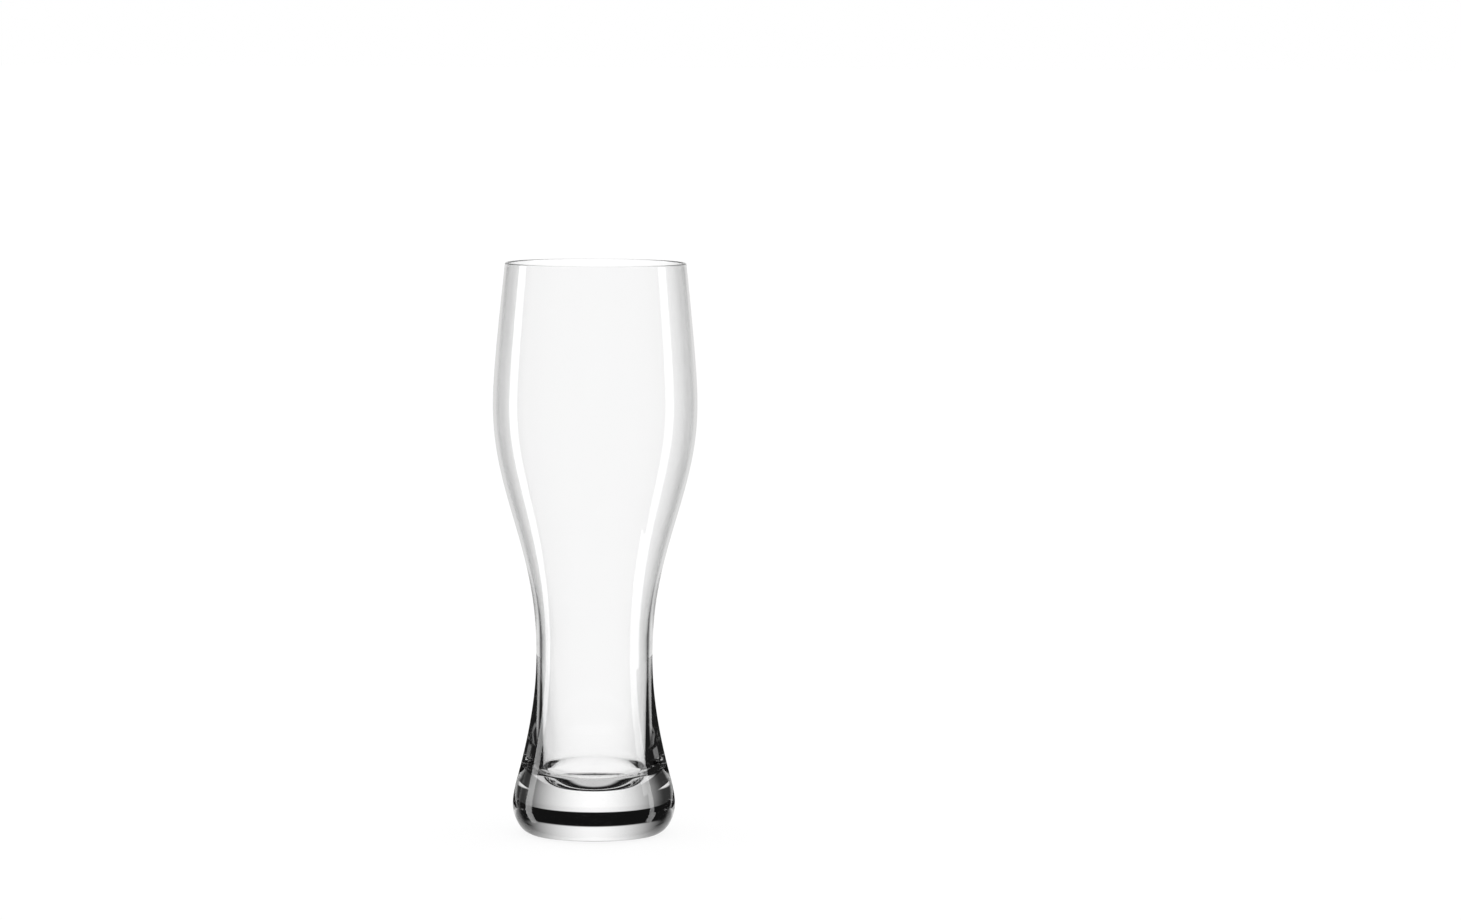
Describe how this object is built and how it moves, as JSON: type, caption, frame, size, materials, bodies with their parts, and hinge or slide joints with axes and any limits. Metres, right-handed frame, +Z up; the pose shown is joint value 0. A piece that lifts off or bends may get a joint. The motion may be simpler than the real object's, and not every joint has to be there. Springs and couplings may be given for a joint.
{
  "type": "weizen glass",
  "caption": "Tall clear wheat-beer glass: narrow waist, wide upper bowl drawn in to a thin rounded rim, and a heavy solid base with a rounded heel.",
  "frame": {"origin": "centre of the underside, on the plane that the glass stands on", "axes": "+Z up along the axis of the glass towards the rim; the glass is round, so the directions of X and Y are free"},
  "size_m": [0.0828, 0.0828, 0.232],
  "materials": {
    "clear_glass": "clear, smooth and fire-polished"
  },
  "bodies": {
    "root": {"bowl": "clear_glass", "base": "clear_glass"}
  },
  "joints": []
}
